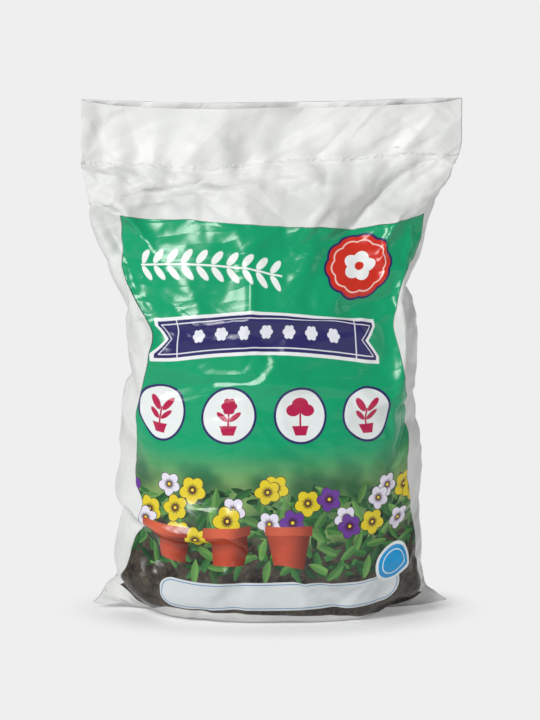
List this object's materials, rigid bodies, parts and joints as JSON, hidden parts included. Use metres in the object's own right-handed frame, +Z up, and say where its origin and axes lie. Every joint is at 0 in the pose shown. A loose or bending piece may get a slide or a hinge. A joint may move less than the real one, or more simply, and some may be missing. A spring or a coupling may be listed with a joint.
{
  "type": "compost bag",
  "caption": "Full upright film bag of potting compost, heat-sealed below its open lips, with a printed front panel and folded corners.",
  "frame": {"origin": "on the floor under the middle of the bag's bounding box", "axes": "+Z up to the mouth, the printed front faces -Y, +X to the right of someone facing the front"},
  "size_m": [0.35, 0.1826, 0.4709],
  "materials": {
    "film": "glossy white polythene film with a printed front panel, creased"
  },
  "bodies": {
    "root": {"bag": "film"}
  },
  "joints": []
}
